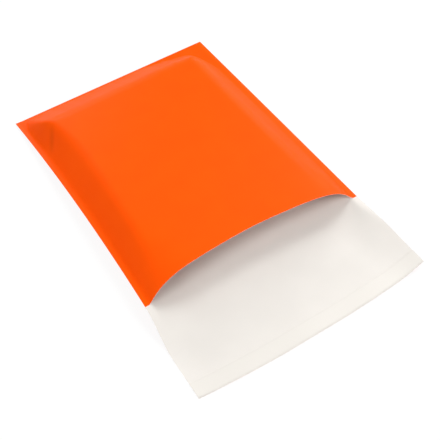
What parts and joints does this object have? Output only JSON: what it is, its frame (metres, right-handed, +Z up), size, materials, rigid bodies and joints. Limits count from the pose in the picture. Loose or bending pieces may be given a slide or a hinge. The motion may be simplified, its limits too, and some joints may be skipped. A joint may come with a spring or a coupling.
{
  "type": "mailing envelope",
  "caption": "Open plastic film mailing bag lying flat: domed pocket with side welds and a bottom fold, and a long lip carrying an adhesive strip under a release liner.",
  "frame": {"origin": "on the table, under the middle of the bag's box", "axes": "+X across the bag, +Y from the lip towards the bottom fold, +Z up"},
  "size_m": [0.372, 0.604, 0.052],
  "materials": {
    "film": "satin, orange outside and white inside",
    "adhesive": "clear hot melt",
    "liner": "satin, silicone coated"
  },
  "bodies": {
    "root": {"mailer_film": "film", "adhesive_strip": "adhesive", "release_liner": "liner"}
  },
  "joints": []
}
